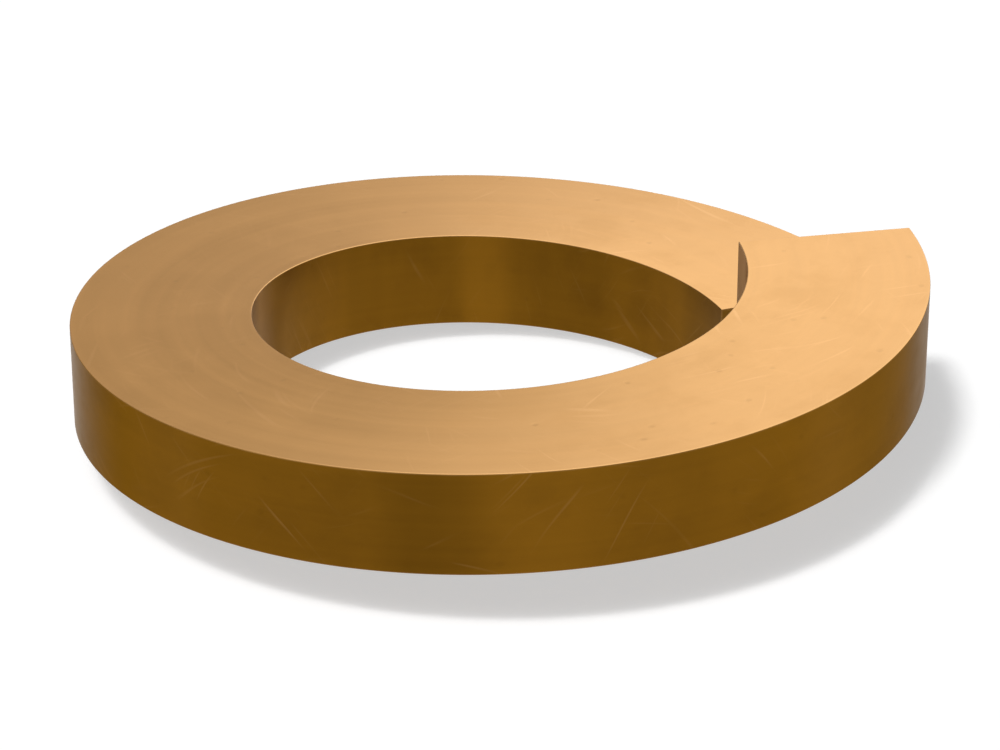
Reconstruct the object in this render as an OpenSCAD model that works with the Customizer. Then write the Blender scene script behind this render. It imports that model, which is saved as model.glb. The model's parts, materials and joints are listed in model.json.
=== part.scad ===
// Spring lock washer: one turn of rectangular wire, coiled into a short
// helix and parted once, so that its two ends stand apart in height.
// Lengths are in millimetres and angles in degrees.
//
// The bore's axis is Z, and the split is centred on +X. The coil starts at
// the low end, just past +X, climbs once round the bore, and stops at the
// raised end, just short of +X. The low end stands on Z = 0.

/* [Wire] */
// Width of the wire, from the bore out to the rim
wire_w = 4.45; // [2:0.05:8]
// Thickness of the wire, along the bore
wire_t = 2.5; // [1.5:0.1:4]
// Width of the 45 degree break on the wire's four long edges
edge_break = 0.05; // [0.02:0.01:0.25]

/* [Coil] */
// Diameter of the bore, which clears a 12 mm bolt
bore_d = 12.2; // [6:0.1:30]
// Height that the coil climbs in one full turn
coil_pitch = 2.35; // [1:0.05:5]
// Angle of the split between the two cut ends
split_angle = 10; // [4:1:30]
// Hand of the coil, named as a screw thread's is
coil_hand = "right"; // [right, left]

/* [Hidden] */

// Sides of a full circle, wherever a round form is drawn with flat sides
$fn = 180;
// Angle that one step of the swept helix covers
step_angle = 2.5;
// How far a cut runs past each face that it opens
cut_clear = 1;

bronze = [0.80, 0.61, 0.40];

bore_r = bore_d / 2;
outer_r = bore_r + wire_w;
coil_angle = 360 - split_angle;
end_rise = coil_pitch * coil_angle / 360;
free_height = wire_t + end_rise;
coil_steps = ceil(coil_angle / step_angle);

// The sweep runs this far past the bore and the rim, which are then cut
// back to true cylinders. It ends halfway from the edge to mid thickness.
overrun = (wire_t / 2 - edge_break) / 2;

// Section of the sweep as [radius, height] points, with the bore on its
// left. The broken edges carry on at 45 degrees for the whole overrun.
function sweep_section() =
    let (
        bore_flat = bore_r + edge_break,
        rim_flat = outer_r - edge_break,
        bore_past = bore_r - overrun,
        rim_past = outer_r + overrun,
        low = edge_break + overrun,
        high = wire_t - low
    ) [
        [bore_flat, 0],
        [rim_flat, 0],
        [rim_past, low],
        [rim_past, high],
        [rim_flat, wire_t],
        [bore_flat, wire_t],
        [bore_past, high],
        [bore_past, low]
    ];

// Section point carried to an angle round the bore, and lifted there
function on_coil(point, angle, lift) =
    [point.x * cos(angle), point.x * sin(angle), point.y + lift];

// Solid that the section sweeps from the low end up to the raised end
module coil_sweep() {
    section = sweep_section();
    corners = len(section);
    points = [
        for (step = [0 : coil_steps], point = section)
            let (share = step / coil_steps)
            on_coil(point, split_angle / 2 + share * coil_angle, share * end_rise)
    ];
    low_end = [for (k = [corners - 1 : -1 : 0]) k];
    raised_end = [for (k = [0 : corners - 1]) coil_steps * corners + k];
    skin = [
        for (step = [0 : coil_steps - 1], k = [0 : corners - 1])
            let (
                here = step * corners + k,
                beside = step * corners + (k + 1) % corners,
                ahead = here + corners,
                across = beside + corners
            )
            each [[here, beside, ahead], [beside, across, ahead]]
    ];
    polyhedron(points = points, faces = [low_end, raised_end, each skin]);
}

// Plain ring with the true round bore and rim, as tall as the free washer
module round_walls() {
    difference() {
        cylinder(r = outer_r, h = free_height);
        translate([0, 0, -cut_clear])
            cylinder(r = bore_r, h = free_height + 2 * cut_clear);
    }
}

// The coil is drawn right-handed, and mirrored where it is to be left-handed
module in_chosen_hand() {
    if (coil_hand == "left") mirror([0, 1, 0]) children();
    else children();
}

module lock_washer() {
    color(bronze)
        in_chosen_hand()
            intersection() {
                round_walls();
                coil_sweep();
            }
}

lock_washer();
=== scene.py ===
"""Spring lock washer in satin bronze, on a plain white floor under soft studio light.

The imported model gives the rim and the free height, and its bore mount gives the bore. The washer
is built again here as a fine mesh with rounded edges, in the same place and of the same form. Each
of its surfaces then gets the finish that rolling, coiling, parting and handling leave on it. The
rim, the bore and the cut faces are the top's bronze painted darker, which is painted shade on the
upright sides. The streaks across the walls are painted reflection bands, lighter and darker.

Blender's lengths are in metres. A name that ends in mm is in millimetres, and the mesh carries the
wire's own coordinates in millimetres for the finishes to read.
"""

from __future__ import annotations

import json
import logging
import math
from collections.abc import Iterator
from dataclasses import dataclass, field, replace
from enum import Enum
from functools import cached_property
from typing import Union

import bpy
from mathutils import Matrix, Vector

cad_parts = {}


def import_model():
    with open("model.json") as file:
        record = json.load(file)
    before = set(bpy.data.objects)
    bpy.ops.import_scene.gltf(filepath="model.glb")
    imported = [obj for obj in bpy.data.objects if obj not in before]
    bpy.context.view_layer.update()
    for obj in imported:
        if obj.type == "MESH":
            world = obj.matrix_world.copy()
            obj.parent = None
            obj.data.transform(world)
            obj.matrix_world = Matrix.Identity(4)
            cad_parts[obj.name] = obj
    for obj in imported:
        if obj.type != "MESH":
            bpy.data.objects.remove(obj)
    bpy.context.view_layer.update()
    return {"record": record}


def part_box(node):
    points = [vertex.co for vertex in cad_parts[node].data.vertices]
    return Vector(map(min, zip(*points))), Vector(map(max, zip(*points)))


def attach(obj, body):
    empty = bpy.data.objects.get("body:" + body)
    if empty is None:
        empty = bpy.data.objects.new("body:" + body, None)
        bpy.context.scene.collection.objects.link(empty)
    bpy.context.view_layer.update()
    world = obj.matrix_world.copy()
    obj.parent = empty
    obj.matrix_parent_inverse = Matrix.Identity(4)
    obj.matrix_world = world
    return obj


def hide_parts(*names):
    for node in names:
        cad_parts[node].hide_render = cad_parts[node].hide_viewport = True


NODE = "lock_washer"
BODY = "root"
BORE_MOUNT = "bore"
WIRE_DATA = "wire"
BAKE_MAP = "OFBake"
MM = 0.001
MICRON = 0.000001

log = logging.getLogger("lock_washer")

Colour = tuple[float, float, float]
# What a node's socket can be given: a link from another one, or a plain value
Value = Union[bpy.types.NodeSocket, float, tuple]
# A number that varies over the skin
Mask = bpy.types.NodeSocket


class Surface(Enum):
    """The kinds of surface on the washer, each with its place in the list of materials."""

    BEARING = 0
    RIM = 1
    BORE = 2
    CUT = 3


class Side(Enum):
    """The sides of the wire, with the four long ones in the order that its section goes round."""

    UNDERSIDE = 0
    RIM = 1
    TOP = 2
    BORE = 3
    LOW_END = 4
    RAISED_END = 5

    @property
    def surface(self) -> Surface:
        """Kind of surface that this side has.

        Returns:
            The kind. The underside and the top share one, and so do the two cut faces.
        """
        if self in (Side.UNDERSIDE, Side.TOP):
            return Surface.BEARING
        if self in (Side.LOW_END, Side.RAISED_END):
            return Surface.CUT
        return Surface.RIM if self is Side.RIM else Surface.BORE


@dataclass(frozen=True)
class CoilForm:
    """Sizes of the coil.

    Attributes:
        rim_radius: Radius of the rim.
        bore_radius: Radius of the bore.
        end_rise: How far the coil climbs from the low end to the raised end.
        wire_thickness: Thickness of the wire, along the bore.
        split_angle: Angle between the two cut faces, in radians.
    """

    rim_radius: float
    bore_radius: float
    end_rise: float
    wire_thickness: float = 2.5 * MM
    split_angle: float = math.radians(10)

    @classmethod
    def from_frame(cls, record: dict) -> CoilForm:
        """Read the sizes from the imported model.

        Args:
            record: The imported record, whose bore mount states the bore's radius.

        Returns:
            The coil's sizes.
        """
        low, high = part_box(NODE)
        bore = next(mount for mount in record["mounts"] if mount["name"] == BORE_MOUNT)
        # The split is centred on +X, so the model reaches its rim only on the other side
        return cls(
            rim_radius=-low.x,
            bore_radius=bore["dims"]["r_mm"] * MM,
            end_rise=high.z - low.z - cls.wire_thickness,
        )

    @property
    def wire_width(self) -> float:
        """Width of the wire, from the bore out to the rim."""
        return self.rim_radius - self.bore_radius

    @property
    def mean_radius(self) -> float:
        """Radius of the middle of the wire."""
        return (self.rim_radius + self.bore_radius) / 2

    @property
    def coil_angle(self) -> float:
        """Angle that the coil covers, from the low end to the raised end."""
        return 2 * math.pi - self.split_angle

    def along(self, azimuth: float) -> float:
        """Distance along the middle of the wire from the low end to an azimuth in degrees."""
        return (math.radians(azimuth) - self.split_angle / 2) * self.mean_radius


@dataclass(frozen=True)
class SectionPoint:
    """A point of the wire's section, with the outward normal there.

    Attributes:
        across: Distance out from the bore.
        up: Height above the wire's underside.
        out_across: The normal's part that points away from the bore.
        out_up: The normal's part that points up.
        side: The side that runs on from here.
        reach: Distance round the section from that side's start.
    """

    across: float
    up: float
    out_across: float
    out_up: float
    side: Side
    reach: float = 0.0


@dataclass(frozen=True)
class WireSection:
    """The wire's section: a rectangle with four rounded corners.

    A side runs from the middle of one rounded corner to the middle of the next.

    Attributes:
        width: Width of the wire, from the bore to the rim.
        height: Its thickness.
        corner_radius: Radius of the four corners.
        half_corner_steps: Steps in which a side turns half a corner.
        width_steps: Steps across the underside or the top.
        height_steps: Steps up the rim or the bore.
        shoulder: Width of the narrow step beside a corner, which keeps the flats' shading flat.
    """

    width: float
    height: float
    corner_radius: float = 0.024 * MM
    half_corner_steps: int = 3
    width_steps: int = 10
    height_steps: int = 6
    shoulder: float = 0.012 * MM

    @cached_property
    def points(self) -> list[SectionPoint]:
        """The section's points, anticlockwise from the middle of the low corner at the bore.

        Returns:
            The points of the four sides. Each side leaves out its last point, which is the next
            one's first.
        """
        near, wide = self.corner_radius, self.width - self.corner_radius
        high = self.height - self.corner_radius
        centres = [(near, near), (wide, near), (wide, high), (near, high)]
        sides = [Side.UNDERSIDE, Side.RIM, Side.TOP, Side.BORE]
        found: list[SectionPoint] = []
        for place, side in enumerate(sides):
            found += self._side(side, centres[place], centres[(place + 1) % len(centres)])
        return found

    def _side(
        self, side: Side, start: tuple[float, float], end: tuple[float, float]
    ) -> list[SectionPoint]:
        """List the points of one side.

        Args:
            side: Which side it is.
            start: Centre of the rounded corner that it starts from.
            end: Centre of the rounded corner that it leads to.

        Returns:
            Its points, from the middle of the first corner to just short of the next one's.
        """
        outward = math.radians(90 * (side.value - 1))
        half = math.radians(45)
        turns = [half * step / self.half_corner_steps for step in range(self.half_corner_steps)]
        run = (end[0] - start[0], end[1] - start[1])
        length = math.hypot(*run)
        near = self.shoulder / length
        steps = self.width_steps if side.surface is Surface.BEARING else self.height_steps
        shares = [0.0] + [near + (1 - 2 * near) * step / steps for step in range(steps + 1)] + [1.0]
        points = [self._at(side, start, outward - half + turn, turn) for turn in turns]
        points += [
            self._at(side, (start[0] + run[0] * t, start[1] + run[1] * t), outward, half, length * t)
            for t in shares
        ]
        points += [
            self._at(side, end, outward + turn, half + turn, length) for turn in turns if turn > 0
        ]
        return points

    def _at(
        self,
        side: Side,
        centre: tuple[float, float],
        angle: float,
        turned: float,
        straight: float = 0.0,
    ) -> SectionPoint:
        """Make the point that lies a corner's radius away from a centre.

        Args:
            side: The side that the point is on.
            centre: The point that it stands off from.
            angle: Direction in which it stands off, in radians.
            turned: How far the side has turned by here, in radians.
            straight: How far the side has run straight by here.

        Returns:
            The point.
        """
        radius, out = self.corner_radius, (math.cos(angle), math.sin(angle))
        return SectionPoint(
            centre[0] + radius * out[0],
            centre[1] + radius * out[1],
            out[0],
            out[1],
            side,
            radius * turned + straight,
        )


@dataclass(frozen=True)
class Ring:
    """One copy of the section along the coil.

    Attributes:
        angle: Angle from the low end's cut face, in radians.
        inset: How far the section has drawn in, where the cut's edge is rounded.
        run: Distance along the surface at the rim from the first full section.
    """

    angle: float
    inset: float
    run: float


@dataclass(frozen=True)
class BakeSheet:
    """The flat sheet that the washer's skin is laid out on, in millimetres.

    Each long side is cut in two halfway round the coil, and its halves lie one above the other.
    The cut faces stand beside the bore's halves.

    Attributes:
        side_mm: Length of the sheet's sides.
        margin_mm: Space between the pieces of skin.
    """

    side_mm: float = 33.2
    margin_mm: float = 0.4

    def place(
        self, side: Side, half: int, run_mm: float, reach_mm: float, size_mm: tuple[float, float]
    ) -> tuple[float, float]:
        """Place a point of the skin on the sheet.

        Args:
            side: The side of the wire that the point is on.
            half: 0 for the half of the coil next to the low end, and 1 for the other.
            run_mm: Distance along that half, or across a cut face.
            reach_mm: Distance across the side, or up a cut face.
            size_mm: The wire's width and height.

        Returns:
            The point's place as shares of the sheet.
        """
        wide, high = size_mm[0] + self.margin_mm, size_mm[1] + self.margin_mm
        rows = {
            Side.TOP: half * wide,
            Side.UNDERSIDE: (2 + half) * wide,
            Side.RIM: 4 * wide + half * high,
            Side.BORE: 4 * wide + (2 + half) * high,
            Side.LOW_END: 4 * wide + 2 * high,
            Side.RAISED_END: 4 * wide + 3 * high,
        }
        left = self.margin_mm
        if side.surface is Surface.CUT:
            left = self.side_mm - size_mm[0] - self.margin_mm
        return (
            (left + run_mm) / self.side_mm,
            (self.margin_mm + rows[side] + reach_mm) / self.side_mm,
        )


@dataclass(frozen=True)
class LockWasher:
    """The washer: one turn of rectangular wire, parted once and sprung apart.

    Attributes:
        form: The coil's sizes.
        section: The wire's section.
        sheet: The flat sheet for its skin.
        ring_step: Largest angle between two rings of points, in radians.
        cut_radius: Radius of the edges round the cut faces.
        cut_steps: Steps in which such an edge turns.
        shoulder: Width of the narrow step beside it. With the radius it stays under the corners'.
    """

    form: CoilForm
    section: WireSection
    sheet: BakeSheet = field(default_factory=BakeSheet)
    ring_step: float = math.radians(1)
    cut_radius: float = 0.013 * MM
    cut_steps: int = 4
    shoulder: float = 0.005 * MM

    @classmethod
    def from_form(cls, form: CoilForm) -> LockWasher:
        """Make the washer of a coil's sizes."""
        return cls(form, WireSection(form.wire_width, form.wire_thickness))

    def build(self) -> bpy.types.Object:
        """Build the washer's mesh, with its coordinates and its flat sheet.

        Returns:
            The washer, in its place in the scene.
        """
        mesh = bpy.data.meshes.new(f"{NODE}_skin")
        points = self.section.points
        vertices = [self._vertex(ring, point) for ring in self.rings for point in points]
        faces, sides = self._faces()
        mesh.from_pydata(vertices, [], faces)
        mesh.polygons.foreach_set("material_index", [side.surface.value for side in sides])
        mesh.polygons.foreach_set("use_smooth", [True] * len(faces))
        self._store_wire(mesh)
        self._unwrap(mesh, sides)
        mesh.validate()
        mesh.update()
        return in_scene(f"{NODE}_bronze", mesh)

    @cached_property
    def rings(self) -> list[Ring]:
        """The rings, from the low end's cut face to the raised end's.

        Returns:
            The rings. At each end they close in round the cut's edge and end on its face.
        """
        form = self.form
        tight, rim = self.cut_radius / form.mean_radius, form.rim_radius
        beside = self.shoulder / form.mean_radius
        span = form.coil_angle - 2 * tight
        steps = math.ceil(span / self.ring_step)
        inner = [tight + beside + (span - 2 * beside) * step / steps for step in range(steps + 1)]
        middle = [Ring(angle, 0.0, (angle - tight) * rim) for angle in inner]
        low_edge, raised_edge = list(self._cut_edge(0.0, -1)), list(self._cut_edge(span * rim, 1))
        return low_edge[::-1] + middle + raised_edge

    def _cut_edge(self, start_run: float, way: int) -> Iterator[Ring]:
        """Make the rings that close in round one cut's edge.

        Args:
            start_run: The run at which the section is last full.
            way: 1 at the raised end, and -1 at the low end.

        Yields:
            The rings, from the last full one to the one on the cut face.
        """
        form, radius = self.form, self.cut_radius
        end = form.coil_angle if way > 0 else 0.0
        quarter = math.pi / 2
        for step in range(self.cut_steps + 1):
            turn = quarter * step / self.cut_steps
            short = radius * (1 - math.sin(turn)) / form.mean_radius
            yield Ring(
                end - way * short, radius * (1 - math.cos(turn)), start_run + way * radius * turn
            )
        flat_run = start_run + way * (radius * quarter + self.shoulder)
        yield Ring(end, radius + self.shoulder, flat_run)

    def _vertex(self, ring: Ring, point: SectionPoint) -> tuple[float, float, float]:
        """Place a point of the section on a ring.

        Args:
            ring: The ring.
            point: The section's point.

        Returns:
            The vertex, in metres.
        """
        form = self.form
        radius = form.bore_radius + point.across - ring.inset * point.out_across
        azimuth = form.split_angle / 2 + ring.angle
        lift = form.end_rise * ring.angle / form.coil_angle
        up = point.up - ring.inset * point.out_up
        return (radius * math.cos(azimuth), radius * math.sin(azimuth), lift + up)

    def _faces(self) -> tuple[list[tuple[int, ...]], list[Side]]:
        """List the skin's faces.

        Returns:
            The faces as lists of vertices, and the side that each is on. The two cut faces are the
            last.
        """
        rings, count = len(self.rings), len(self.section.points)
        faces, sides = [], []
        for here in range(rings - 1):
            on_low_cut, on_raised_cut = here == 0, here == rings - 2
            for place, point in enumerate(self.section.points):
                beside = (place + 1) % count
                base, ahead = here * count, (here + 1) * count
                faces.append((base + place, ahead + place, ahead + beside, base + beside))
                side = Side.LOW_END if on_low_cut else point.side
                sides.append(Side.RAISED_END if on_raised_cut else side)
        last = (rings - 1) * count
        faces.append(tuple(range(count)))
        faces.append(tuple(last + place for place in reversed(range(count))))
        return faces, sides + [Side.LOW_END, Side.RAISED_END]

    def _store_wire(self, mesh: bpy.types.Mesh) -> None:
        """Store the wire's own coordinates on the mesh.

        They are the distances along the wire from the low end, across it from the bore, and up
        from its underside, in millimetres.

        Args:
            mesh: The washer's mesh.
        """
        values: list[float] = []
        for ring in self.rings:
            along = ring.angle * self.form.mean_radius
            for point in self.section.points:
                across = point.across - ring.inset * point.out_across
                up = point.up - ring.inset * point.out_up
                values += [along / MM, across / MM, up / MM]
        layer = mesh.attributes.new(WIRE_DATA, "FLOAT_VECTOR", "POINT")
        layer.data.foreach_set("vector", values)

    def _unwrap(self, mesh: bpy.types.Mesh, sides: list[Side]) -> None:
        """Lay the skin out on the bake sheet.

        Args:
            mesh: The washer's mesh.
            sides: The side that each face is on.
        """
        rings, points = self.rings, self.section.points
        count, middle = len(points), len(rings) // 2
        size_mm = (self.section.width / MM, self.section.height / MM)
        starts = (rings[1].run, rings[middle].run)
        layer = mesh.uv_layers.new(name=BAKE_MAP)
        for face, side in zip(mesh.polygons, sides):
            corners = [divmod(vertex, count) for vertex in face.vertices]
            half = int(min(ring for ring, _ in corners) >= middle)
            for loop, (ring, place) in zip(face.loop_indices, corners):
                point, where = points[place], rings[ring]
                if side.surface is Surface.CUT:
                    run = (point.across - where.inset * point.out_across) / MM
                    reach = (point.up - where.inset * point.out_up) / MM
                    if side is Side.RAISED_END:
                        run = size_mm[0] - run
                else:
                    pace = self.form.bore_radius if side is Side.BORE else self.form.rim_radius
                    run = (where.run - starts[half]) / MM * pace / self.form.rim_radius
                    reach = point.reach / MM
                    if point.side is not side:
                        reach = self._full_reach(side) / MM
                layer.data[loop].uv = self.sheet.place(side, half, run, reach, size_mm)

    def _full_reach(self, side: Side) -> float:
        """Measure a long side from the middle of one rounded corner to the middle of the next.

        Args:
            side: The side.

        Returns:
            The distance across it.
        """
        radius = self.section.corner_radius
        flat = self.section.height - 2 * radius
        if side.surface is Surface.BEARING:
            flat = self.section.width - 2 * radius
        return flat + radius * math.pi / 2

    def dress(self, piece: bpy.types.Object, finishes: dict[Surface, bpy.types.Material]) -> None:
        """Give each kind of surface its material, in the order of the surfaces' places."""
        for surface in Surface:
            piece.data.materials.append(finishes[surface])


class NodeGraph:
    """A node tree that is filled one node at a time, from left to right."""

    SPACING = 180
    # Places of the colours among a Mix node's sockets
    MIX_FIRST, MIX_SECOND, MIX_RESULT = 6, 7, 2

    def __init__(self, tree: bpy.types.NodeTree) -> None:
        """Start from an empty tree."""
        tree.nodes.clear()
        self.tree = tree

    def add(
        self, kind: str, inputs: dict[str | int, Value] | None = None, **settings: object
    ) -> bpy.types.Node:
        """Add a node.

        Args:
            kind: The node's type.
            inputs: What each of its sockets gets: another node's socket, or a value.
            settings: The node's own settings.

        Returns:
            The new node.
        """
        node = self.tree.nodes.new(kind)
        node.location.x = self.SPACING * len(self.tree.nodes)
        for name, value in settings.items():
            setattr(node, name, value)
        for socket, value in (inputs or {}).items():
            self.feed(node.inputs[socket], value)
        return node

    def feed(self, socket: bpy.types.NodeSocket, value: Value) -> None:
        """Link a socket to another node's, or set its value.

        Args:
            socket: The socket.
            value: The other node's socket, or the value.
        """
        if isinstance(value, bpy.types.NodeSocket):
            self.tree.links.new(value, socket)
        elif isinstance(value, tuple) and socket.type == "RGBA":
            socket.default_value = (*value, 1.0)
        else:
            socket.default_value = value

    def math(self, operation: str, *values: Value) -> bpy.types.NodeSocket:
        """Work out a number with a Math node."""
        node = self.add("ShaderNodeMath", dict(enumerate(values)), operation=operation)
        return node.outputs["Value"]

    def weigh(self, base: Value, parts: list[tuple[Value, float]]) -> Value:
        """Add values to a base, each times its weight.

        Args:
            base: What they are added to.
            parts: The values with their weights. A weight of 0 adds no node.

        Returns:
            The sum.
        """
        for value, weight in parts:
            if weight:
                base = self.math("MULTIPLY_ADD", value, weight, base)
        return base

    def vector(self, operation: str, *values: Value) -> bpy.types.NodeSocket:
        """Work out a vector, or a dot product, with a Vector Math node."""
        node = self.add("ShaderNodeVectorMath", dict(enumerate(values)), operation=operation)
        return node.outputs["Value" if operation == "DOT_PRODUCT" else "Vector"]

    def parts(self, vector: Value) -> bpy.types.NodeOutputs:
        """Split a vector into its X, Y and Z."""
        return self.add("ShaderNodeSeparateXYZ", {"Vector": vector}).outputs

    def turned(self, vector: Value, degrees: tuple[float, float, float]) -> bpy.types.NodeSocket:
        """Turn a vector about X, then Y, then Z.

        Args:
            vector: The vector.
            degrees: The angle about each.

        Returns:
            The turned vector.
        """
        inputs = {"Vector": vector, "Rotation": tuple(math.radians(angle) for angle in degrees)}
        node = self.add("ShaderNodeVectorRotate", inputs, rotation_type="EULER_XYZ")
        return node.outputs["Vector"]

    def ramp(
        self, value: Value, start: Value, end: Value, low: Value = 0.0, high: Value = 1.0
    ) -> bpy.types.NodeSocket:
        """Map a number smoothly from one range to another.

        Args:
            value: The number.
            start: Where the ramp starts.
            end: Where it ends.
            low: The result before the start.
            high: The result past the end.

        Returns:
            The mapped number.
        """
        inputs = {
            "Value": value,
            "From Min": start,
            "From Max": end,
            "To Min": low,
            "To Max": high,
        }
        node = self.add("ShaderNodeMapRange", inputs, interpolation_type="SMOOTHSTEP")
        return node.outputs["Result"]

    def noise(
        self, place: Value, scale: Value, detail: float, roughness: float = 0.5
    ) -> bpy.types.NodeSocket:
        """Add noise that varies in all three directions, from 0 to 1.

        Args:
            place: The coordinates.
            scale: How many features fit in one unit.
            detail: How many finer layers it has.
            roughness: How strong the finer layers are.

        Returns:
            The noise.
        """
        inputs = {"Vector": place, "Scale": scale, "Detail": detail, "Roughness": roughness}
        return self.add("ShaderNodeTexNoise", inputs).outputs["Fac"]

    def signed(self, value: Value) -> bpy.types.NodeSocket:
        """Turn noise from 0 to 1 into noise from -1 to 1."""
        return self.math("MULTIPLY_ADD", value, 2.0, -1.0)

    def mix(self, share: Value, first: Value, second: Value) -> bpy.types.NodeSocket:
        """Mix two colours by a share of the second."""
        sockets = {"Factor": share, self.MIX_FIRST: first, self.MIX_SECOND: second}
        return self.add("ShaderNodeMix", sockets, data_type="RGBA").outputs[self.MIX_RESULT]

    def shade(self, colour: Value, level: Value) -> bpy.types.NodeSocket:
        """Multiply a colour by a level."""
        return self.vector("MULTIPLY", colour, level)


class EffectGroup(NodeGraph):
    """A node group with named sockets, which any material can hold."""

    def __init__(self, name: str, inputs: dict[str, float | tuple], outputs: list[str]) -> None:
        """Make the group and its sockets.

        Args:
            name: The group's name.
            inputs: Its inputs, each with its usual value.
            outputs: Its outputs, which are all numbers.
        """
        super().__init__(bpy.data.node_groups.new(name, "ShaderNodeTree"))
        sockets = self.tree.interface
        for label, usual in inputs.items():
            kind = "NodeSocketVector" if isinstance(usual, tuple) else "NodeSocketFloat"
            sockets.new_socket(label, in_out="INPUT", socket_type=kind).default_value = usual
        for label in outputs:
            sockets.new_socket(label, in_out="OUTPUT", socket_type="NodeSocketFloat")
        self.given = self.add("NodeGroupInput").outputs
        self.result = self.add("NodeGroupOutput").inputs

    def stretched(self, place: Value, stretches: tuple[Value, ...]) -> bpy.types.NodeSocket:
        """Draw a pattern out along each of its coordinates.

        Args:
            place: The coordinates.
            stretches: How many times longer it becomes along each.

        Returns:
            The coordinates to read the pattern with.
        """
        shrinks = [value if value == 1.0 else self.math("DIVIDE", 1.0, value) for value in stretches]
        scale = self.add("ShaderNodeCombineXYZ", dict(zip("XYZ", shrinks)))
        return self.vector("MULTIPLY", place, scale.outputs["Vector"])


class BronzeEffects:
    """The effects that the finishes share, each a node group that is built once.

    Every group reads the wire's coordinates in millimetres. A Shade is 0 where it changes nothing,
    and from -1 to 1 elsewhere. A mask runs from 0 to 1.
    """

    NOWHERE = (0.0, 0.0, 0.0)
    # Noises: features in a millimetre, finer layers, and how strong the finer ones are
    PATCHES = (0.4, 1.0, 0.5)
    RUB_WIDTH = (1.6, 4.0, 0.65)
    TEAR_LINE = (1.1, 4.0, 0.6)
    TORN_METAL = (11.0, 4.0, 0.68)
    # Where on its noise a mask starts, and where it is full
    PATCH_SPAN = (0.44, 0.62)
    SCRATCH_SPAN = (0.70, 0.86)
    CLOUD_SPAN = (0.42, 0.68)
    # Tilt and turn, in degrees, of each set of scratches
    SCRATCH_LAYS = ((39, -37), (119, -44), (72, 49), (-31, 20))
    SWIRLS_PER_MM = 0.3
    # Dents in a millimetre, and the share of their spacing at which one ends and is full
    DENTS_PER_MM = 1.15
    DENT_SPAN = (0.13, 0.03)
    # The coarse lines of the grain for each fine one
    COARSE_GRAIN = 0.28
    # Height over which the cut metal turns into torn metal
    TEAR_FADE_MM = 0.09

    def __init__(self, form: CoilForm) -> None:
        """Build the groups.

        Args:
            form: The coil's sizes, which place the edges and the streaks.
        """
        self.form = form
        self.grain = self._drawn_grain()
        self.marks = self._handling_marks()
        self.patina = self._patina()
        self.bands = self._coil_bands()
        self.streak = self._painted_light_streak()
        self.rub = self._edge_rub()
        self.tear = self._torn_zone()

    def _drawn_grain(self) -> bpy.types.NodeTree:
        """Build the fine lines that drawing and rolling leave along the wire.

        Returns:
            The group's nodes.
        """
        group = EffectGroup(
            "Drawn Grain",
            {"Wire": self.NOWHERE, "Lines per mm": 5.0, "Stretch": 40.0},
            ["Shade"],
        )
        place = group.stretched(group.given["Wire"], (group.given["Stretch"], 1.0, 1.0))
        fine = group.noise(place, group.given["Lines per mm"], detail=2.0)
        coarse_scale = group.math("MULTIPLY", group.given["Lines per mm"], self.COARSE_GRAIN)
        coarse = group.noise(place, coarse_scale, detail=2.0)
        both = group.math("ADD", group.signed(fine), group.signed(coarse))
        group.feed(group.result["Shade"], both)
        return group.tree

    def _handling_marks(self) -> bpy.types.NodeTree:
        """Build the hair scratches and small dents that loose washers give each other.

        A scratch is where a thin sheet of noise meets the skin, so that it is a line on any side.
        The sheets are slightly bent, and each set of them comes and goes in patches.

        Returns:
            The group's nodes.
        """
        group = EffectGroup(
            "Handling Marks",
            {"Wire": self.NOWHERE, "Lines per mm": 13.0, "Stretch": 30.0, "Bend mm": 0.9},
            ["Scratches", "Dents"],
        )
        wire, stretch = group.given["Wire"], group.given["Stretch"]
        swirl = group.add(
            "ShaderNodeTexNoise", {"Vector": wire, "Scale": self.SWIRLS_PER_MM, "Detail": 0.0}
        )
        shift = group.vector("MULTIPLY", swirl.outputs["Color"], group.given["Bend mm"])
        bent = group.vector("ADD", wire, shift)
        scratches: Value = 0.0
        for tilt, turn in self.SCRATCH_LAYS:
            turned = group.turned(bent, (0.0, tilt, turn))
            place = group.stretched(turned, (1.0, stretch, stretch))
            noise = group.noise(place, group.given["Lines per mm"], detail=0.0)
            patch = group.ramp(group.noise(turned, *self.PATCHES), *self.PATCH_SPAN)
            line = group.math("MULTIPLY", group.ramp(noise, *self.SCRATCH_SPAN), patch)
            scratches = group.math("MAXIMUM", scratches, line)
        group.feed(group.result["Scratches"], scratches)
        spots = group.add(
            "ShaderNodeTexVoronoi", {"Vector": wire, "Scale": self.DENTS_PER_MM, "Randomness": 1.0}
        )
        dents = group.ramp(spots.outputs["Distance"], *self.DENT_SPAN)
        group.feed(group.result["Dents"], dents)
        return group.tree

    def _patina(self) -> bpy.types.NodeTree:
        """Build the clouds in which the metal has dulled.

        Returns:
            The group's nodes.
        """
        group = EffectGroup("Patina", {"Wire": self.NOWHERE, "Clouds per mm": 0.5}, ["Mask"])
        clouds = group.noise(
            group.given["Wire"], group.given["Clouds per mm"], detail=5.0, roughness=0.62
        )
        group.feed(group.result["Mask"], group.ramp(clouds, *self.CLOUD_SPAN))
        return group.tree

    def _coil_bands(self) -> bpy.types.NodeTree:
        """Build the slow changes of shade from place to place along the coil.

        Returns:
            The group's nodes.
        """
        group = EffectGroup(
            "Coil Bands", {"Wire": self.NOWHERE, "Bands per mm": 0.35, "Start": 0.0}, ["Shade"]
        )
        along = group.parts(group.given["Wire"])["X"]
        place = group.math(
            "MULTIPLY_ADD", along, group.given["Bands per mm"], group.given["Start"]
        )
        noise = group.add(
            "ShaderNodeTexNoise",
            {"W": place, "Scale": 1.0, "Detail": 3.0, "Roughness": 0.5},
            noise_dimensions="1D",
        )
        group.feed(group.result["Shade"], group.signed(noise.outputs["Fac"]))
        return group.tree

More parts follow.
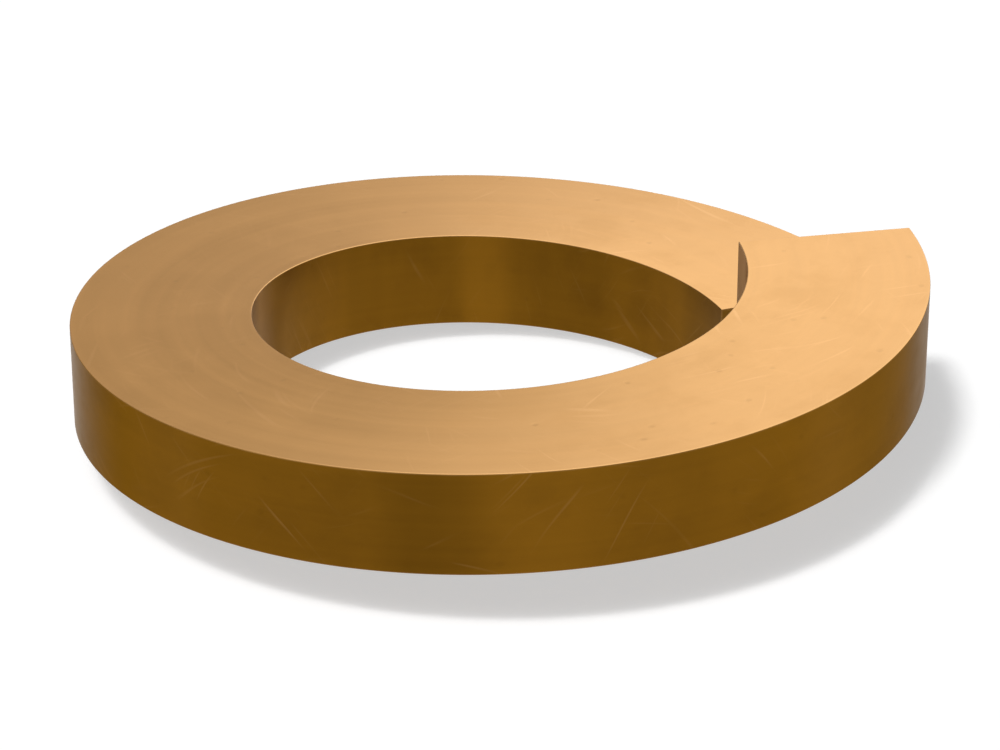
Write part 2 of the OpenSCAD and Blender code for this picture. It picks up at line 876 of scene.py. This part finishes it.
    def _painted_light_streak(self) -> bpy.types.NodeTree:
        """Build one soft streak across the wire: the mask of a painted reflection band or of painted
        sheen.

        Returns:
            The group's nodes.
        """
        group = EffectGroup(
            "Painted Light Streak",
            {"Wire": self.NOWHERE, "Centre": 0.0, "Core": 0.5, "Reach": 1.0},
            ["Mask"],
        )
        along = group.parts(group.given["Wire"])["X"]
        away = group.math("ABSOLUTE", group.math("SUBTRACT", along, group.given["Centre"]))
        mask = group.ramp(away, group.given["Core"], group.given["Reach"], 1.0, 0.0)
        group.feed(group.result["Mask"], mask)
        return group.tree

    def _edge_rub(self) -> bpy.types.NodeTree:
        """Build the wear along every edge, where handling has rubbed the metal bright.

        A point of the skin lies on at least one of the wire's six sides. Of its distances to the
        nearest sides across, up and along the wire, the middle one is its distance to an edge.

        Returns:
            The group's nodes.
        """
        group = EffectGroup(
            "Edge Rub", {"Wire": self.NOWHERE, "Width mm": 0.1, "Unevenness": 0.6}, ["Mask"]
        )
        form, wire = self.form, group.given["Wire"]
        place = group.parts(wire)
        sizes = {
            "X": form.coil_angle * form.mean_radius / MM,
            "Y": form.wire_width / MM,
            "Z": form.wire_thickness / MM,
        }
        gaps = []
        for axis, size in sizes.items():
            here = place[axis]
            gaps.append(group.math("MINIMUM", here, group.math("SUBTRACT", size, here)))
        lower = group.math("MINIMUM", gaps[0], gaps[1])
        upper = group.math("MAXIMUM", gaps[0], gaps[1])
        middle = group.math("MAXIMUM", lower, group.math("MINIMUM", upper, gaps[2]))
        noise = group.signed(group.noise(wire, *self.RUB_WIDTH))
        swing = group.math("MULTIPLY", noise, group.given["Unevenness"])
        width = group.math("MULTIPLY", group.given["Width mm"], group.math("EXPONENT", swing))
        group.feed(group.result["Mask"], group.ramp(middle, 0.0, width, 1.0, 0.0))
        return group.tree

    def _torn_zone(self) -> bpy.types.NodeTree:
        """Build the torn zone of a sheared face, below the uneven line where the blade's cut ends.

        The Grit is the torn metal's height, from -1 to 1, and is 0 above the line.

        Returns:
            The group's nodes.
        """
        group = EffectGroup(
            "Torn Zone",
            {"Wire": self.NOWHERE, "Line mm": 1.0, "Unevenness mm": 0.55},
            ["Mask", "Grit"],
        )
        wire, line = group.given["Wire"], group.given["Line mm"]
        wave = group.signed(group.noise(wire, *self.TEAR_LINE))
        height = group.parts(wire)["Z"]
        up = group.math("MULTIPLY_ADD", wave, group.given["Unevenness mm"], height)
        mask = group.ramp(up, line, group.math("ADD", line, self.TEAR_FADE_MM), 1.0, 0.0)
        grit = group.signed(group.noise(wire, *self.TORN_METAL))
        group.feed(group.result["Mask"], mask)
        group.feed(group.result["Grit"], group.math("MULTIPLY", grit, mask))
        return group.tree


class FinishGraph(NodeGraph):
    """The nodes of one finish, with the shared effects and the coordinates that they read."""

    def __init__(self, tree: bpy.types.NodeTree, effects: BronzeEffects) -> None:
        """Start from the wire's coordinates on the mesh.

        Args:
            tree: The finish's empty tree.
            effects: The effects that the finishes share.
        """
        super().__init__(tree)
        self.effects = effects
        self.wire = self.add(
            "ShaderNodeAttribute", attribute_name=WIRE_DATA, attribute_type="GEOMETRY"
        ).outputs["Vector"]

    def effect(
        self, group: bpy.types.NodeTree, inputs: dict[str, Value] | None = None
    ) -> bpy.types.NodeOutputs:
        """Place one of the shared effects."""
        sockets = {"Wire": self.wire, **(inputs or {})}
        return self.add("ShaderNodeGroup", sockets, node_tree=group).outputs


@dataclass(frozen=True)
class Imprint:
    """What an effect does to the metal where it has its full strength.

    Attributes:
        shade: How much lighter the metal gets, as a share. A darker one is below 0.
        roughness: How much rougher it gets.
        microns: How far it is raised. A hollow is below 0.
    """

    shade: float = 0.0
    roughness: float = 0.0
    microns: float = 0.0


@dataclass(frozen=True)
class PaintedLightStreak:
    """A soft streak across one wall, painted into its colour: a lighter or darker painted reflection
    band, or painted sheen.

    Attributes:
        azimuth: Where its middle is round the bore, in degrees.
        core: Half of its full-strength width, in degrees.
        reach: Half of its whole width, in degrees.
        shade: How much lighter it is, as a share: painted light. A darker one is below 0, which is
            painted shade.
        wear: How far its colour is mixed towards the rubbed colour, as painted sheen.
        roughness: How much rougher it is.
        film: How much dried coiling oil it carries, which pales it at a glancing angle.
    """

    azimuth: float
    core: float
    reach: float
    shade: float
    wear: float = 0.0
    roughness: float = 0.0
    film: float = 0.0


# The streaks of a finish, each with its mask
Streaks = list[tuple[PaintedLightStreak, Mask]]


@dataclass(frozen=True)
class BronzeFinish:
    """How one kind of surface on the washer is finished.

    Attributes:
        name: The material's name.
        colour: The metal's colour.
        dull: Its colour where patina has dulled it.
        rubbed: Its colour where it is rubbed bright.
        edge_tint: How much of the reflection at a glancing angle is kept.
        roughness: The plain metal's roughness.
        band_start: Where in the shade noise the coil's bands start.
        band_depth: How strong those bands are.
        grain: What the drawn grain does to the metal.
        patina_share: How dull the dullest clouds are.
        scratch_share: How bright the scratches are.
        rub_width_mm: How far in from the edges the wear reaches.
        rub_share: How bright the wear is right at the edges.
        sheared: Whether the surface was cut, and has the cut's lines in place of drawn grain.
        streaks: The streaks across it, which paint light and shade into its colour.
    """

    name: str
    colour: Colour
    dull: Colour
    rubbed: Colour
    edge_tint: Colour
    roughness: float
    band_start: float
    band_depth: float
    grain: Imprint
    patina_share: float
    scratch_share: float
    rub_width_mm: float
    rub_share: float
    sheared: bool = False
    streaks: tuple[PaintedLightStreak, ...] = ()

    PATINA = Imprint(roughness=0.05)
    RUB = Imprint(roughness=-0.04)
    SCRATCH = Imprint(microns=-0.25)
    DENT = Imprint(shade=-0.07, microns=-1.5)
    TORN = Imprint(shade=-0.12, roughness=0.12)
    GRIT = Imprint(shade=0.35, microns=6.0)
    # Roughness of dried coiling oil
    FILM_ROUGHNESS = 0.5
    # The upright lines that the shear's blade leaves, in place of the usual grain
    SHEAR_LINES = {"Lines per mm": 7.0, "Stretch": 14.0}

    def material(self, effects: BronzeEffects) -> bpy.types.Material:
        """Build the finish's material.

        Args:
            effects: The effects that the finishes share.

        Returns:
            The material.
        """
        material = bpy.data.materials.new(self.name)
        material.use_nodes = True
        graph = FinishGraph(material.node_tree, effects)
        marks = graph.effect(effects.marks)
        patina = graph.effect(effects.patina)["Mask"]
        streaks = self._streaks(graph)
        rubbed = self._rubbed(graph, marks["Scratches"], streaks)
        imprints = self._imprints(graph) + [
            (patina, self.PATINA),
            (rubbed, self.RUB),
            (marks["Scratches"], self.SCRATCH),
            (marks["Dents"], self.DENT),
        ]
        imprints += [
            (mask, Imprint(shade=streak.shade, roughness=streak.roughness))
            for streak, mask in streaks
        ]
        level = graph.weigh(1.0, [(mask, imprint.shade) for mask, imprint in imprints])
        height = graph.weigh(0.0, [(mask, imprint.microns) for mask, imprint in imprints])
        roughness = graph.weigh(
            self.roughness, [(mask, imprint.roughness) for mask, imprint in imprints]
        )
        film = graph.weigh(0.0, [(mask, streak.film) for streak, mask in streaks])
        dullness = graph.math("MULTIPLY", patina, self.patina_share)
        metal = graph.shade(graph.mix(dullness, self.colour, self.dull), level)
        bump = graph.add(
            "ShaderNodeBump", {"Height": height, "Distance": MICRON, "Strength": 1.0}
        )
        shader = graph.add(
            "ShaderNodeBsdfPrincipled",
            {
                "Base Color": graph.mix(rubbed, metal, self.rubbed),
                "Metallic": 1.0,
                "Roughness": roughness,
                "Specular Tint": self.edge_tint,
                "Coat Weight": film,
                "Coat Roughness": self.FILM_ROUGHNESS,
                "Normal": bump.outputs["Normal"],
            },
        )
        graph.add("ShaderNodeOutputMaterial", {"Surface": shader.outputs["BSDF"]})
        return material

    def _imprints(self, graph: FinishGraph) -> list[tuple[Mask, Imprint]]:
        """Place what making the washer leaves on this surface.

        Args:
            graph: The material's nodes.

        Returns:
            The slow bands, and the drawn grain or the marks of the shear, each with its imprint.
        """
        effects = graph.effects
        bands = graph.effect(effects.bands, {"Start": self.band_start})["Shade"]
        found = [(bands, Imprint(shade=self.band_depth))]
        if not self.sheared:
            return found + [(graph.effect(effects.grain)["Shade"], self.grain)]
        upright = {"Wire": graph.turned(graph.wire, (0.0, 90.0, 0.0))}
        lines = graph.effect(effects.grain, {**upright, **self.SHEAR_LINES})["Shade"]
        tear = graph.effect(effects.tear)
        return found + [(lines, self.grain), (tear["Mask"], self.TORN), (tear["Grit"], self.GRIT)]

    def _streaks(self, graph: FinishGraph) -> Streaks:
        """Place the finish's streaks.

        Args:
            graph: The material's nodes.

        Returns:
            Each streak with its mask.
        """
        form = graph.effects.form
        per_degree = math.radians(1) * form.mean_radius / MM
        found = []
        for streak in self.streaks:
            place = {
                "Centre": form.along(streak.azimuth) / MM,
                "Core": streak.core * per_degree,
                "Reach": streak.reach * per_degree,
            }
            found.append((streak, graph.effect(graph.effects.streak, place)["Mask"]))
        return found

    def _rubbed(self, graph: FinishGraph, scratches: Mask, streaks: Streaks) -> Mask:
        """Work out how far the metal is rubbed bright from place to place.

        Args:
            graph: The material's nodes.
            scratches: Where the scratches are.
            streaks: Each streak with its mask.

        Returns:
            The brightest of the edges' wear, the scratches and the streaks' painted sheen.
        """
        edges = graph.effect(graph.effects.rub, {"Width mm": self.rub_width_mm})["Mask"]
        rubbed = graph.math("MULTIPLY", edges, self.rub_share)
        shares = [(scratches, self.scratch_share)]
        shares += [(mask, streak.wear) for streak, mask in streaks if streak.wear]
        for mask, share in shares:
            rubbed = graph.math("MAXIMUM", rubbed, graph.math("MULTIPLY", mask, share))
        return rubbed


RUBBED_BRONZE: Colour = (0.45, 0.25, 0.095)

# The rim is the bearing faces' bronze painted darker: its colour and dull colour are painted shade
# on the upright side.
SHADED_RIM_FINISH = BronzeFinish(
    name="bronze_rim_painted_shade",
    colour=(0.162, 0.0704, 0.005),
    dull=(0.105, 0.045, 0.004),
    rubbed=RUBBED_BRONZE,
    edge_tint=(0.65, 0.565, 0.475),
    roughness=0.32,
    band_start=11.0,
    band_depth=0.12,
    grain=Imprint(shade=0.08, roughness=0.02, microns=0.15),
    patina_share=0.25,
    scratch_share=0.12,
    rub_width_mm=0.045,
    rub_share=0.3,
    streaks=(
        # Painted reflection bands: lighter and darker streaks that stand for what the wall mirrors,
        # and painted sheen where it turns greyer.
        PaintedLightStreak(205.0, 3.0, 11.0, 0.06, wear=0.03),
        PaintedLightStreak(245.0, 2.0, 11.0, -0.24),
        PaintedLightStreak(257.0, 4.0, 13.0, 0.14),
        PaintedLightStreak(294.0, 8.0, 20.0, 0.12),
        PaintedLightStreak(306.0, 5.0, 16.0, 0.0, wear=0.05),
        PaintedLightStreak(326.0, 3.0, 9.0, -0.2),
    ),
)

FINISHES = {
    Surface.BEARING: BronzeFinish(
        name="bronze_bearing_faces",
        colour=(0.4706, 0.2509, 0.0812),
        dull=(0.39, 0.195, 0.052),
        rubbed=(0.585, 0.325, 0.124),
        edge_tint=(0.88, 0.74, 0.62),
        roughness=0.2,
        band_start=3.0,
        band_depth=0.03,
        grain=Imprint(shade=0.045, roughness=0.02, microns=0.12),
        patina_share=0.18,
        scratch_share=0.3,
        rub_width_mm=0.09,
        rub_share=0.15,
    ),
    Surface.RIM: SHADED_RIM_FINISH,
    # The bore keeps the rim's darker colours, which are painted shade.
    Surface.BORE: replace(
        SHADED_RIM_FINISH,
        name="bronze_bore_painted_shade",
        edge_tint=(0.87, 0.79, 0.69),
        roughness=0.34,
        band_start=27.0,
        scratch_share=0.08,
        rub_width_mm=0.04,
        streaks=(
            # Painted reflection bands, lighter and darker.
            PaintedLightStreak(10.0, 4.0, 13.0, -0.16),
            PaintedLightStreak(27.0, 3.0, 9.0, 0.1),
            PaintedLightStreak(55.0, 5.0, 14.0, -0.13),
            PaintedLightStreak(76.5, 3.0, 9.0, 0.2),
            PaintedLightStreak(128.0, 8.0, 18.0, 0.2),
            # These lighten the bore where it mirrors its own dark wall: painted light and painted
            # sheen, on rougher, coated metal.
            PaintedLightStreak(146.0, 3.0, 13.0, 0.08, roughness=0.3, film=0.06),
            PaintedLightStreak(159.0, 6.0, 20.0, 0.24, wear=0.05, roughness=0.15, film=0.4),
            PaintedLightStreak(354.0, 5.0, 15.0, 0.55, wear=0.3, roughness=0.35, film=1.0),
        ),
    ),
    # The cut faces are the same bronze painted darker: painted shade on the upright ends.
    Surface.CUT: BronzeFinish(
        name="bronze_cut_faces_painted_shade",
        colour=(0.215, 0.098, 0.012),
        dull=(0.12, 0.052, 0.007),
        rubbed=RUBBED_BRONZE,
        edge_tint=(0.65, 0.565, 0.475),
        roughness=0.38,
        band_start=5.0,
        band_depth=0.0,
        grain=Imprint(shade=0.14, roughness=0.02, microns=0.6),
        patina_share=0.3,
        scratch_share=0.06,
        rub_width_mm=0.06,
        rub_share=0.4,
        sheared=True,
    ),
}


@dataclass(frozen=True)
class PhotoCamera:
    """The camera that looks at the washer from the photograph's side.

    Attributes:
        azimuth: Direction from the washer to the camera round the bore's axis, in degrees.
        elevation: Angle at which it looks down, in degrees.
        distance: Distance from the point that it looks at.
        aim_height: Height of that point.
        aim_right: How far that point is to the camera's right of the bore's axis.
        lens: Focal length in millimetres, for a sensor 36 mm wide.
    """

    azimuth: float = 252.925
    elevation: float = 24.43
    distance: float = 89.547 * MM
    aim_height: float = 1.715 * MM
    aim_right: float = 0.026 * MM
    lens: float = 129.32

    SENSOR = 36.0
    NEAREST = 0.001
    FURTHEST = 100.0

    def place(self) -> bpy.types.Object:
        """Make the camera and give it to the scene.

        Returns:
            The camera.
        """
        data = bpy.data.cameras.new("photo_camera")
        data.sensor_fit = "HORIZONTAL"
        data.sensor_width = self.SENSOR
        data.lens = self.lens
        data.clip_start = self.NEAREST
        data.clip_end = self.FURTHEST
        camera = in_scene("photo_camera", data)
        back = direction(self.azimuth, self.elevation)
        right = direction(self.azimuth + 90, 0)
        aim = right * self.aim_right + Vector((0, 0, self.aim_height))
        camera.location = aim + back * self.distance
        camera.rotation_euler = back.to_track_quat("Z", "Y").to_euler()
        bpy.context.scene.camera = camera
        return camera


@dataclass(frozen=True)
class SoftPanel:
    """A soft bright area of the studio's walls, which only reflections show.

    Attributes:
        azimuth: Direction of its middle round the bore's axis, in degrees.
        elevation: Height of its middle, in degrees.
        full: Angle from its middle out to which it has its full strength, in degrees.
        fade: Angle from its middle at which it has faded out, in degrees.
        glow: Its strength over the white walls', by colour.
    """

    azimuth: float
    elevation: float
    full: float
    fade: float
    glow: Colour


@dataclass(frozen=True)
class Studio:
    """The plain white room: its floor, its walls and its one lamp.

    Attributes:
        floor_half_width: Half of the floor's width.
        floor_colour: Its colour in the lamp's light.
        floor_glow: What makes it white in the light, for the camera and in reflections.
        floor_depth: How far light goes into it.
        walls_in_gloss: The walls' colour in reflections. The camera sees them white.
        ambient: Strength of the light from the walls.
        sun_azimuth: Direction of the lamp round the bore's axis, in degrees.
        sun_elevation: Its height, in degrees.
        sun_strength: Its strength.
        sun_angle: How wide it is, in radians.
        panels: The walls' soft bright areas.
    """

    floor_half_width: float = 3.0
    floor_colour: Colour = (0.52, 0.52, 0.52)
    floor_glow: float = 0.548
    floor_depth: float = 1.2 * MM
    walls_in_gloss: Colour = (0.79, 0.795, 0.825)
    ambient: float = 0.03
    sun_azimuth: float = 225.9
    sun_elevation: float = 57.5
    sun_strength: float = 3.35
    sun_angle: float = math.radians(8)
    panels: tuple[SoftPanel, ...] = (
        SoftPanel(13.2, 47.2, 46.5, 57.8, (1.25, 1.39, 1.87)),
        SoftPanel(215.0, 30.0, 28.0, 54.0, (0.89, 0.96, 1.2)),
    )

    # Between no matt bounces and one
    BEFORE_BOUNCE = 0.5

    def build(self) -> None:
        """Build the floor, the walls and the lamp."""
        floor = self._floor()
        log.info("floor %s", floor.name)
        self._walls()
        self._sun()
        bpy.context.scene.view_settings.view_transform = "Standard"

    def _seen(self, graph: NodeGraph) -> tuple[bpy.types.NodeSocket, bpy.types.NodeSocket]:
        """Find out what kind of ray asks for a surface's colour.

        Rays that have left the matt floor don't count, so that the shadow stays a plain grey.

        Args:
            graph: The nodes to add to.

        Returns:
            1 for rays from the camera, from gloss or through glass, and 1 for gloss alone.
        """
        path = graph.add("ShaderNodeLightPath").outputs
        direct = graph.math("LESS_THAN", path["Diffuse Depth"], self.BEFORE_BOUNCE)
        glossy = graph.math("MULTIPLY", path["Is Glossy Ray"], direct)
        through = graph.math("MULTIPLY", path["Is Transmission Ray"], direct)
        mirrored = graph.math("MAXIMUM", glossy, through)
        return graph.math("MAXIMUM", path["Is Camera Ray"], mirrored), glossy

    def _floor(self) -> bpy.types.Object:
        """Make the floor, which is white in the light and keeps the washer's shadow.

        Light goes a little way into it, so that the shadow's edge is soft all round.

        Returns:
            The floor.
        """
        half = self.floor_half_width
        mesh = bpy.data.meshes.new("floor")
        corners = [(-half, -half, 0), (half, -half, 0), (half, half, 0), (-half, half, 0)]
        mesh.from_pydata(corners, [], [(0, 1, 2, 3)])
        floor = in_scene("floor", mesh)
        material = bpy.data.materials.new("white_floor")
        material.use_nodes = True
        material.cycles.emission_sampling = "NONE"
        graph = NodeGraph(material.node_tree)
        seen, _ = self._seen(graph)
        strength = graph.math("MULTIPLY", seen, self.floor_glow)
        glow = graph.add("ShaderNodeEmission", {"Strength": strength})
        matt = graph.add(
            "ShaderNodeSubsurfaceScattering",
            {"Color": self.floor_colour, "Scale": self.floor_depth, "Radius": (1.0, 1.0, 1.0)},
            falloff="BURLEY",
        )
        both = graph.add(
            "ShaderNodeAddShader", {0: glow.outputs["Emission"], 1: matt.outputs["BSSRDF"]}
        )
        graph.add("ShaderNodeOutputMaterial", {"Surface": both.outputs["Shader"]})
        mesh.materials.append(material)
        return floor

    def _walls(self) -> None:
        """Make the white walls, with the soft panels that reflections show."""
        world = bpy.data.worlds.new("white_walls")
        bpy.context.scene.world = world
        world.use_nodes = True
        world.cycles.sampling_method = "NONE"
        graph = NodeGraph(world.node_tree)
        seen, mirrored = self._seen(graph)
        way = graph.add("ShaderNodeTexCoord").outputs["Generated"]
        colour = graph.mix(mirrored, (1.0, 1.0, 1.0), self.walls_in_gloss)
        for panel in self.panels:
            middle = tuple(direction(panel.azimuth, panel.elevation))
            facing = graph.vector("DOT_PRODUCT", way, middle)
            fade, full = (math.cos(math.radians(a)) for a in (panel.fade, panel.full))
            mask = graph.math("MULTIPLY", graph.ramp(facing, fade, full), mirrored)
            colour = graph.vector("ADD", colour, graph.shade(panel.glow, mask))
        level = graph.math("MULTIPLY_ADD", seen, 1.0 - self.ambient, self.ambient)
        walls = graph.add("ShaderNodeBackground", {"Color": colour, "Strength": level})
        graph.add("ShaderNodeOutputWorld", {"Surface": walls.outputs["Background"]})

    def _sun(self) -> None:
        """Make the lamp, which throws the one soft-edged shadow and leaves no glint on edges."""
        data = bpy.data.lights.new("key_light", "SUN")
        data.energy = self.sun_strength
        data.angle = self.sun_angle
        lamp = in_scene("key_light", data)
        source = direction(self.sun_azimuth, self.sun_elevation)
        lamp.rotation_euler = source.to_track_quat("Z", "Y").to_euler()
        lamp.visible_glossy = False


def in_scene(name: str, data: bpy.types.ID) -> bpy.types.Object:
    """Put an object in the scene.

    Args:
        name: The object's name.
        data: Its mesh, camera or lamp.

    Returns:
        The object, at the origin.
    """
    item = bpy.data.objects.new(name, data)
    bpy.context.scene.collection.objects.link(item)
    return item


def direction(azimuth: float, elevation: float) -> Vector:
    """Turn an azimuth and an elevation into a direction.

    Args:
        azimuth: Angle round the bore's axis from +X towards +Y, in degrees.
        elevation: Angle above the floor, in degrees.

    Returns:
        The unit vector.
    """
    turn, lift = math.radians(azimuth), math.radians(elevation)
    flat = math.cos(lift)
    return Vector((flat * math.cos(turn), flat * math.sin(turn), math.sin(lift)))


def main() -> None:
    """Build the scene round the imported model."""
    logging.basicConfig(level=logging.INFO, format="%(name)s: %(message)s")
    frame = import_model()
    PhotoCamera().place()

    form = CoilForm.from_frame(frame["record"])
    washer = LockWasher.from_form(form)
    effects = BronzeEffects(form)
    piece = washer.build()
    washer.dress(piece, {surface: FINISHES[surface].material(effects) for surface in Surface})
    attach(piece, BODY)
    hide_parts(NODE)
    log.info("%s has %d faces", piece.name, len(piece.data.polygons))
    Studio().build()


if __name__ == "__main__":
    main()
